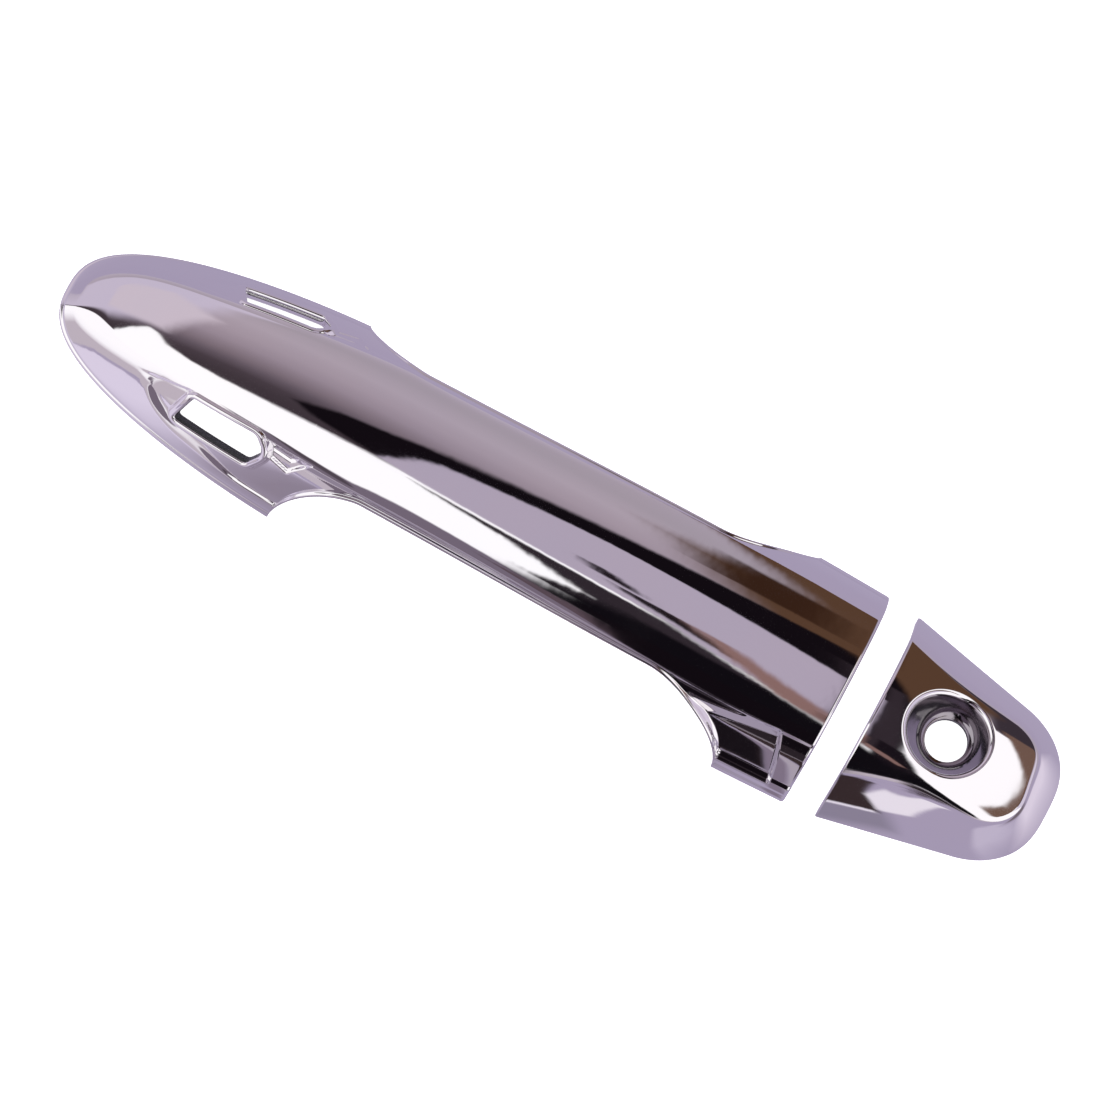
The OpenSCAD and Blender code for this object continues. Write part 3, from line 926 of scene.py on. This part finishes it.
def liner_film(colour):
    """Glossy release film, faintly embossed and clouded by the adhesive under it."""
    material, tree, shader = new_material("Release liner")
    where = tree.nodes.new("ShaderNodeTexCoord")
    weave = tree.nodes.new("ShaderNodeTexWave")
    weave.bands_direction = "DIAGONAL"
    weave.inputs["Scale"].default_value = 420.0
    weave.inputs["Distortion"].default_value = 0.6
    tree.links.new(where.outputs["Object"], weave.inputs["Vector"])
    deep = tuple(c * 0.72 for c in colour)
    cloud = spread(tree, noise_of(tree, 120.0, 5.0), 0.0, 1.0)
    tree.links.new(blend_colours(tree, cloud, colour, deep), shader.inputs["Base Color"])
    tree.links.new(spread(tree, noise_of(tree, 260.0), 0.16, 0.3), shader.inputs["Roughness"])
    shader.inputs["Coat Weight"].default_value = 0.4
    add_bump(tree, shader, weave.outputs["Color"], 0.25, 0.00008)
    return material


def material_of(name, make, *values):
    return bpy.data.materials.get(name) or make(*values)


# ---- sizes and colours that a user would change ----

class ShellSizes(PropertyGroup):
    """Sizes and finish of the two chrome covers."""

    bezel_height: FloatProperty(
        name="Bezel height", description="How far the bezel stands out round each slot",
        default=0.9, min=0.2, max=1.5)
    chrome_colour: FloatVectorProperty(
        name="Chrome colour", description="Colour of the bright plating",
        default=(0.86, 0.85, 0.88), size=3, subtype="COLOR", min=0.0, max=1.0)
    chrome_roughness: FloatProperty(
        name="Chrome haze", description="Mean roughness of the bright plating",
        default=0.035, min=0.0, max=0.5, subtype="FACTOR")
    # the dish's darker plate colour is painted shade in the recess
    dish_shade_colour: FloatVectorProperty(
        name="Dish colour", description="Colour of the plating in the dish",
        default=(0.34, 0.31, 0.34), size=3, subtype="COLOR", min=0.0, max=1.0)
    inner_colour: FloatVectorProperty(
        name="Inner colour", description="Colour of the unplated plastic inside",
        default=(0.022, 0.021, 0.024), size=3, subtype="COLOR", min=0.0, max=1.0)


class StripSizes(PropertyGroup):
    """Sizes and colours of the foam tapes and their liners."""

    tape_thickness: FloatProperty(
        name="Tape thickness", description="Thickness of the foam tape",
        default=TAPE_T * MM, min=0.0004, max=0.003, unit="LENGTH")
    liner_thickness: FloatProperty(
        name="Liner thickness", description="Thickness of the release film",
        default=LINER_T * MM, min=0.0001, max=0.001, unit="LENGTH")
    foam_colour: FloatVectorProperty(
        name="Foam colour", description="Colour of the foam tape",
        default=(0.035, 0.035, 0.038), size=3, subtype="COLOR", min=0.0, max=1.0)
    liner_colour: FloatVectorProperty(
        name="Liner colour", description="Colour of the release film",
        default=(0.7, 0.7, 0.68), size=3, subtype="COLOR", min=0.0, max=1.0)


class StageSizes(PropertyGroup):
    """The floor, the studio light and the camera."""

    camera_distance: FloatProperty(
        name="Camera distance", description="Distance from the camera to the part",
        default=2.0, min=0.5, max=6.0, unit="LENGTH")
    elevation: FloatProperty(
        name="Camera elevation", description="Angle of the camera above the floor",
        default=math.radians(75.0), subtype="ANGLE")
    roll: FloatProperty(
        name="Camera roll", description="Turn of the camera about its own view line",
        default=math.radians(28.3), subtype="ANGLE")
    floor_colour: FloatVectorProperty(
        name="Floor colour", description="Colour of the plain floor",
        default=(0.95, 0.95, 0.95), size=3, subtype="COLOR", min=0.0, max=1.0)


# ---- operators ----

def chromes(sizes):
    return [material_of("Chrome plate", chrome_plate, tuple(sizes.chrome_colour),
                        sizes.chrome_roughness),
            material_of("Moulded inner face", moulded_plastic, tuple(sizes.inner_colour)),
            material_of("Dish chrome with painted shade", dish_chrome_with_painted_shade, tuple(sizes.dish_shade_colour))]


def body_of(cover):
    return "pull_side" if cover is GRIP else "door_side"


def finish_piece(piece, body, node):
    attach(piece, body)
    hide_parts(node)
    return piece


class TRIM_OT_grip_cover(Operator):
    """Make the long cover for the handle's grip, with a slot in each side wall"""

    bl_idname = "trim.grip_cover"
    bl_label = "Grip cover"

    def execute(self, context):
        sizes = context.scene.trim_shells
        piece = grip_shell(sizes).build("grip_cover_shell", chromes(sizes))
        finish_piece(piece, "pull_side", "grip_cover")
        return {"FINISHED"}


class TRIM_OT_keyhole_cover(Operator):
    """Make the short cover with the dished keyhole"""

    bl_idname = "trim.keyhole_cover"
    bl_label = "Keyhole cover"

    def execute(self, context):
        sizes = context.scene.trim_shells
        piece = cap_shell().build("keyhole_cover_shell", chromes(sizes))
        finish_piece(piece, "door_side", "keyhole_cover")
        return {"FINISHED"}


class TRIM_OT_tapes(Operator):
    """Make the foam tapes that hold the covers"""

    bl_idname = "trim.tapes"
    bl_label = "Foam tapes"

    def execute(self, context):
        sizes = context.scene.trim_strips
        foam = material_of("Foam tape", foam_rubber, tuple(sizes.foam_colour))
        for area, (cover, *_rest) in AREAS.items():
            patch = strip_patch(area, WALL + SKIN_GAP, 0.0)
            piece = waved_strip(patch, area + "_foam", foam, sizes.tape_thickness, TAPE_WAVES)
            finish_piece(piece, body_of(cover), area + "_tape")
        return {"FINISHED"}


class TRIM_OT_liners(Operator):
    """Make the release liners, with their pull tabs"""

    bl_idname = "trim.liners"
    bl_label = "Release liners"

    def execute(self, context):
        sizes = context.scene.trim_strips
        film = material_of("Release liner", liner_film, tuple(sizes.liner_colour))
        for area, (cover, *_rest) in AREAS.items():
            patch = strip_patch(area, WALL + TAPE_T + 2.0 * SKIN_GAP, TAB_L)
            piece = waved_strip(patch, area + "_film", film, sizes.liner_thickness, LINER_WAVES)
            finish_piece(piece, body_of(cover), area + "_liner")
        return {"FINISHED"}


def plane(name, corners, material):
    mesh = bpy.data.meshes.new(name)
    mesh.from_pydata(corners, [], [(0, 1, 2, 3)])
    mesh.materials.append(material)
    obj = bpy.data.objects.new(name, mesh)
    bpy.context.collection.objects.link(obj)
    return obj


def srgb(*channels):
    """A linear colour from display values of 0 to 255."""
    c = np.array(channels) / 255.0
    return np.where(c < 0.04045, c / 12.92, ((c + 0.055) / 1.055) ** 2.4)


def glow(name):
    """The glow that a mesh's colours give, for the sheets of painted reflection."""
    material = bpy.data.materials.new(name)
    material.use_nodes = True
    tree = material.node_tree
    tree.nodes.clear()
    light = tree.nodes.new("ShaderNodeEmission")
    light.inputs["Strength"].default_value = 1.0 / 0.86
    paint = tree.nodes.new("ShaderNodeAttribute")
    paint.attribute_name = "light"
    tree.links.new(paint.outputs["Color"], light.inputs["Color"])
    out = tree.nodes.new("ShaderNodeOutputMaterial")
    tree.links.new(light.outputs["Emission"], out.inputs["Surface"])
    return material


def only_in_reflections(obj):
    for kind in ("camera", "diffuse", "transmission", "volume_scatter", "shadow"):
        setattr(obj, "visible_" + kind, False)


CEILING_Z = 0.4         # height of the ceiling sheet of painted reflections, in metres
# The ceiling's painted reflection, shaded along Y: grey far off, then white, dark overhead and
# grey again
CEILING_REFLECTION_SHADES = (
    (-12.0, (186, 176, 186)), (-2.5, (186, 176, 186)), (-1.2, (248, 246, 250)),
    (-0.6, (253, 251, 253)), (-0.12, (253, 251, 253)), (-0.1, (60, 51, 57)),
    (-0.05, (62, 53, 59)), (0.0, (70, 60, 67)), (0.05, (95, 84, 93)),
    (0.1, (120, 107, 116)), (0.2, (148, 135, 146)), (0.3, (160, 147, 158)),
    (0.5, (169, 157, 168)), (0.9, (160, 150, 160)), (3.0, (168, 157, 170)),
    (12.0, (176, 166, 180)),
)
# Soft-edged cards of painted reflection on it: colour, width of the edge, corners
CEILING_REFLECTION_CARDS = (
    # painted reflection: pale patches beyond the nose
    ((192, 182, 200), 0.1, ((-12, 0.02), (-0.56, 0.02), (-0.44, 0.12), (-0.42, 0.5),
                            (-0.5, 1.4), (-12, 4))),
    ((198, 186, 197), 0.06, ((-0.6, 0.1), (-0.42, 0.06), (-0.38, 0.35), (-0.55, 0.55),
                             (-0.7, 0.4))),
    # painted highlight: a white softbox shape
    ((254, 253, 254), 0.012, ((-0.49, -0.01), (-0.455, 0.04), (-0.43, 0.02), (-0.4, -0.04),
                              (-0.35, -0.078), (-0.3, -0.097), (-0.2, -0.117),
                              (-0.1, -0.132), (-0.04, -0.147), (-0.012, -0.18),
                              (0.002, -0.215), (0.018, -0.26), (0.0, -0.315),
                              (-0.02, -0.335), (-0.06, -0.4), (-0.14, -0.46),
                              (-0.3, -0.53), (-0.45, -0.6), (-0.6, -0.2))),
    # painted reflection: grey behind the camera, with a darker patch
    ((112, 101, 115), 0.05, ((-0.35, -0.54), (-0.14, -0.47), (-0.05, -0.39), (0.0, -0.37),
                             (0.12, -0.5), (0.2, -1.2), (0.3, -3.0), (-0.3, -3.0),
                             (-0.5, -1.3))),
    ((78, 69, 78), 0.03, ((-0.27, -0.5), (-0.12, -0.49), (-0.1, -0.58), (-0.2, -0.66))),
    # painted reflection beyond the keyhole cover: lavender, white, grey, dark and brown patches
    ((206, 197, 214), 0.05, ((0.46, -0.2), (12, -0.5), (12, 1.2), (0.6, 0.8))),
    ((253, 251, 253), 0.03, ((0.2, -0.3), (0.36, -0.3), (0.5, -0.25), (1.2, -0.4), (12, -0.4),
                             (12, -12), (1.3, -3.0), (0.6, -1.2), (0.3, -0.6))),
    ((165, 155, 170), 0.1, ((0.3, 0.75), (12, 1.2), (12, 12), (0.3, 12))),
    ((55, 47, 54), 0.06, ((0.26, 0.37), (0.42, 0.37), (0.5, 0.8), (0.62, 2.6), (0.42, 2.6),
                          (0.3, 0.8))),
    ((108, 84, 74), 0.02, ((0.3, -0.24), (0.37, -0.3), (0.42, 0.1), (0.4, 0.45),
                           (0.3, 0.42))),
    # second painted highlight: a white softbox shape
    ((253, 251, 253), 0.012, ((0.145, 0.32), (0.2, 0.38), (0.305, 0.37), (0.322, 0.1),
                              (0.318, -0.14), (0.3, -0.22), (0.2, -0.275), (0.145, -0.2),
                              (0.14, 0.0))),
    # painted reflection: brown patches
    ((84, 60, 45), 0.05, ((0.055, 0.3), (0.1, 0.14), (0.15, 0.14), (0.25, 0.45),
                          (0.31, 0.6), (0.33, 1.3), (0.45, 3.0), (0.45, 12), (0.11, 12),
                          (0.1, 1.0), (0.04, 0.6))),
    ((52, 32, 22), 0.03, ((0.05, 0.4), (0.1, 0.42), (0.12, 0.9), (0.07, 0.9))),
    # painted reflection: a black patch and a dark grey strip
    ((17, 12, 17), 0.022, ((-0.185, -0.02), (-0.13, 0.045), (-0.08, 0.075), (-0.045, 0.115),
                           (-0.02, 0.17), (0.015, 0.23), (0.05, 0.28), (0.105, 0.32),
                           (0.15, 0.1), (0.16, -0.3), (0.1, -0.25), (0.0, -0.1),
                           (-0.07, -0.1), (-0.11, -0.085), (-0.155, -0.06))),
    ((48, 40, 46), 0.02, ((0.1, 0.2), (0.125, 0.2), (0.155, -0.25), (0.105, -0.25))),
    # painted reflection: a pale patch with two dark spots
    ((171, 160, 177), 0.008, ((-0.08, -0.1), (-0.062, -0.05), (-0.052, 0.0), (-0.036, 0.05),
                              (-0.015, 0.088), (0.0, 0.112), (0.02, 0.131), (0.045, 0.131),
                              (0.07, 0.115), (0.102, 0.082), (0.102, -0.2),
                              (0.088, -0.22), (0.06, -0.195), (0.045, -0.158),
                              (0.0, -0.142), (-0.04, -0.122))),
    ((32, 25, 31), 0.007, ((0.012, -0.052), (0.021, -0.048), (0.032, -0.075),
                           (0.033, -0.09), (0.016, -0.084))),
    ((30, 23, 28), 0.008, ((0.024, -0.1), (0.05, -0.1), (0.07, -0.155), (0.066, -0.17),
                           (0.046, -0.14), (0.026, -0.118))),
    # painted reflection: copper-tinted patches beside a black one
    ((134, 104, 100), 0.014, ((0.05, -0.1), (0.066, -0.1), (0.085, -0.15), (0.104, -0.19),
                              (0.104, -0.265), (0.085, -0.24), (0.066, -0.17))),
    ((24, 18, 24), 0.012, ((0.12, -0.17), (0.16, -0.175), (0.185, -0.235), (0.205, -0.31),
                           (0.225, -0.4), (0.25, -0.52), (0.2, -0.6), (0.12, -0.3))),
    ((128, 100, 95), 0.008, ((0.108, -0.234), (0.15, -0.246), (0.175, -0.262),
                             (0.165, -0.274), (0.108, -0.258))),
    # painted reflection: dark patches lower down
    ((46, 39, 45), 0.01, ((-0.05, -0.134), (0.0, -0.155), (0.045, -0.17), (0.07, -0.215),
                          (0.105, -0.28), (0.105, -0.33), (0.0, -0.33), (0.0, -0.315),
                          (0.018, -0.26), (0.002, -0.215), (-0.012, -0.18))),
    ((15, 12, 17), 0.03, ((0.005, -0.33), (0.035, -0.24), (0.085, -0.25), (0.15, -0.31),
                          (0.3, -0.62), (0.6, -1.25), (1.3, -2.9), (0.8, -2.9), (0.3, -1.4),
                          (0.12, -0.62), (0.075, -0.5), (0.05, -0.41), (-0.005, -0.4))),
    ((86, 72, 80), 0.015, ((0.0, -0.39), (0.045, -0.405), (0.07, -0.45), (0.07, -0.5),
                           (-0.02, -0.5))),
    # painted reflection: a black patch
    ((16, 11, 16), 0.02, ((0.02, -0.35), (0.12, -0.38), (0.24, -1.5), (0.07, -1.5),
                          (0.03, -0.46))),
    # painted reflection: dark and far off
    ((40, 33, 38), 0.1, ((0.07, -1.5), (0.24, -1.5), (0.6, -2.4), (3.2, -12.0),
                         (0.09, -12.0))),
)


# Painted reflections for the low walls: a tinted table sheet under the floor's white
TABLE_REFLECTION_SHADES = ((-12.0, (162, 152, 176)), (12.0, (162, 152, 176)))
TABLE_REFLECTION_CARDS = (
    # painted reflection: pale by the nose, grey under the grip, white beyond the keyhole cover
    ((214, 205, 224), 0.06, ((-0.4, 0.02), (-0.12, -0.01), (-0.09, -0.03), (-0.1, -0.3),
                             (-0.4, -0.3))),
    ((138, 128, 144), 0.03, ((-0.085, -0.03), (0.05, -0.03), (0.05, -0.3), (-0.09, -0.3))),
    # painted reflection by the rear foot: dark patches, a pale strip along their front and two
    # strips beside them
    ((50, 39, 42), 0.003, ((0.046, -0.0335), (0.068, -0.0335), (0.068, -0.3), (0.046, -0.3))),
    ((22, 17, 22), 0.006, ((0.04, -0.058), (0.0675, -0.058), (0.0675, -12.0), (-0.4, -12.0))),
    ((152, 143, 161), 0.002, ((0.04, -0.034), (0.0675, -0.034), (0.07, -0.0565),
                              (0.04, -0.0565))),
    ((125, 113, 130), 0.002, ((0.068, -0.03), (0.0725, -0.03), (0.0725, -0.3), (0.068, -0.3))),
    ((165, 156, 168), 0.002, ((0.0725, -0.034), (0.077, -0.034), (0.077, -0.3),
                              (0.0725, -0.3))),
    # painted reflection by the keyhole cover: pale and brownish dark patches, a thin white edge
    # and a white strip behind
    ((134, 127, 146), 0.006, ((0.08, -0.027), (0.1, -0.027), (0.1, -0.04), (0.08, -0.04))),
    ((52, 41, 43), 0.002, ((0.078, -0.0385), (0.0985, -0.0385), (0.101, -0.06), (0.112, -0.09),
                           (2.5, -12.0), (0.078, -12.0))),
    ((226, 220, 232), 0.0012, ((0.084, -0.0375), (0.0975, -0.0375), (0.0975, -0.0392),
                               (0.084, -0.0392))),
    ((226, 220, 230), 0.002, ((0.0985, -0.041), (0.1055, -0.041), (0.119, -0.082),
                              (0.111, -0.076), (0.0995, -0.056))),
    # painted reflection beyond the rounded end: pale, grey and white cards
    ((186, 177, 198), 0.004, ((0.119, -0.02), (0.14, -0.012), (0.15, -0.05), (0.121, -0.035))),
    ((214, 204, 220), 0.006, ((0.1305, -0.012), (0.146, -0.012), (0.15, 0.03), (0.131, 0.02))),
    ((111, 100, 108), 0.01, ((0.147, -0.03), (0.3, -0.06), (0.3, 0.02), (0.152, 0.0))),
)


def painted_sheet(name, xs, ys, height, shades, cards, border=None):
    """A sheet of painted reflections that only reflections see, shaded along Y and with cards on
    it.
    """
    x, y = np.meshgrid(xs, ys, indexing="ij")
    z = np.full(x.shape, height)
    if border is not None:
        z[[0, -1], :] = border
        z[:, [0, -1]] = border
    stops = np.array([at for at, _shade in shades])
    colours = np.array([srgb(*shade) for _at, shade in shades])
    light = np.stack([np.interp(y, stops, colours[:, k]) for k in range(3)], -1)
    for colour, edge, corners in cards:
        light = mix(light, srgb(*colour), covered(x, y, corners, edge)[..., None])
    ids = np.arange(x.size).reshape(x.shape)
    faces = np.stack([ids[:-1, :-1], ids[:-1, 1:], ids[1:, 1:], ids[1:, :-1]], -1)
    mesh = bpy.data.meshes.new(name)
    mesh.from_pydata(np.stack([x, y, z], -1).reshape(-1, 3).tolist(), [],
                     faces.reshape(-1, 4).tolist())
    paint = mesh.color_attributes.new("light", "FLOAT_COLOR", "POINT")
    rgba = np.concatenate([light.reshape(-1, 3), np.ones((x.size, 1))], 1)
    paint.data.foreach_set("color", rgba.ravel())
    mesh.materials.append(material_of("Studio glow", glow, "Studio glow"))
    sheet = bpy.data.objects.new(name, mesh)
    bpy.context.collection.objects.link(sheet)
    only_in_reflections(sheet)


def fine_stations(inner, steps, outer, count):
    """Evenly spaced in the middle, and wider and wider apart out to the rim."""
    far = np.geomspace(inner, outer, count)[1:]
    return np.concatenate([-far[::-1], np.linspace(-inner, inner, steps), far])


# Sheets of painted reflection overhead and under the floor, seen only in reflections
def studio():
    ceiling = fine_stations(0.6, 261, 12.0, 26)
    painted_sheet("painted_reflection_ceiling", ceiling, ceiling, CEILING_Z, CEILING_REFLECTION_SHADES, CEILING_REFLECTION_CARDS, -0.0001)
    far = np.geomspace(0.4, 12.0, 16)[1:]
    across = run((-0.4, 0.04, 44), (0.04, 0.125, 106), (0.125, 0.4, 28))
    along = run((-0.4, -0.1, 40), (-0.1, -0.024, 110), (-0.024, 0.4, 42))
    across, along = (np.concatenate([-far[::-1], inner, far]) for inner in (across, along))
    painted_sheet("painted_reflection_table", across, along, -0.0001, TABLE_REFLECTION_SHADES, TABLE_REFLECTION_CARDS)


class TRIM_OT_stage(Operator):
    """Make the floor, the studio light, the sheets of painted reflection and the camera"""

    bl_idname = "trim.stage"
    bl_label = "Stage"

    def execute(self, context):
        sizes = context.scene.trim_stage
        floor_stuff, tree, shader = new_material("Floor")
        shader.inputs["Roughness"].default_value = 0.9
        shader.inputs["Emission Color"].default_value = (1.0, 1.0, 1.0, 1.0)
        shader.inputs["Emission Strength"].default_value = 0.93
        soft = spread(tree, noise_of(tree, 3.0), 0.0, 1.0)
        colour = tuple(sizes.floor_colour)
        tree.links.new(blend_colours(tree, soft, colour, tuple(c * 0.99 for c in colour)),
                       shader.inputs["Base Color"])
        s, z = 6.0, -0.0003
        plane("floor", [(-s, -s, z), (s, -s, z), (s, s, z), (-s, s, z)], floor_stuff)

        world = bpy.data.worlds.new("Studio")
        context.scene.world = world
        world.use_nodes = True
        world.node_tree.nodes["Background"].inputs[0].default_value = (1.0, 1.0, 1.0, 1.0)
        world.node_tree.nodes["Background"].inputs[1].default_value = 1.1
        # the sheets of painted reflection
        studio()

        back = Vector((0.0, -math.cos(sizes.elevation), math.sin(sizes.elevation)))
        level = Vector((1.0, 0.0, 0.0))
        up = back.cross(level)
        right = math.cos(sizes.roll) * level + math.sin(sizes.roll) * up
        top = -math.sin(sizes.roll) * level + math.cos(sizes.roll) * up
        data = bpy.data.cameras.new("Camera")
        data.lens, data.sensor_width = 283.5, 36.0
        data.clip_start, data.clip_end = 0.05, 60.0
        camera = bpy.data.objects.new("Camera", data)
        context.collection.objects.link(camera)
        aim = Vector((0.0001, -0.0013, 0.0))
        place = aim + sizes.camera_distance * back
        camera.matrix_world = Matrix((
            (right.x, top.x, back.x, place.x), (right.y, top.y, back.y, place.y),
            (right.z, top.z, back.z, place.z), (0.0, 0.0, 0.0, 1.0)))
        context.scene.camera = camera
        context.scene.view_settings.view_transform = "Standard"
        return {"FINISHED"}


OPERATORS = (TRIM_OT_stage, TRIM_OT_grip_cover, TRIM_OT_keyhole_cover, TRIM_OT_tapes,
             TRIM_OT_liners)


class TRIM_PT_panel(Panel):
    """Buttons and sizes in the sidebar"""

    bl_idname = "TRIM_PT_panel"
    bl_label = "Door handle chrome trim"
    bl_space_type = "VIEW_3D"
    bl_region_type = "UI"
    bl_category = "Handle trim"

    def draw(self, context):
        layout = self.layout
        for group in (context.scene.trim_shells, context.scene.trim_strips,
                      context.scene.trim_stage):
            box = layout.box()
            for name in group.bl_rna.properties.keys():
                if name not in ("rna_type", "name"):
                    box.prop(group, name)
        for operator in OPERATORS:
            layout.operator(operator.bl_idname)


CLASSES = (ShellSizes, StripSizes, StageSizes, *OPERATORS, TRIM_PT_panel)


def register():
    for cls in CLASSES:
        bpy.utils.register_class(cls)
    bpy.types.Scene.trim_shells = PointerProperty(type=ShellSizes)
    bpy.types.Scene.trim_strips = PointerProperty(type=StripSizes)
    bpy.types.Scene.trim_stage = PointerProperty(type=StageSizes)


def unregister():
    del bpy.types.Scene.trim_stage
    del bpy.types.Scene.trim_strips
    del bpy.types.Scene.trim_shells
    for cls in reversed(CLASSES):
        bpy.utils.unregister_class(cls)


def main():
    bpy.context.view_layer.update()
    register()
    bpy.ops.trim.stage()
    bpy.ops.trim.grip_cover()
    bpy.ops.trim.keyhole_cover()
    bpy.ops.trim.tapes()
    bpy.ops.trim.liners()


if __name__ == "__main__":
    main()
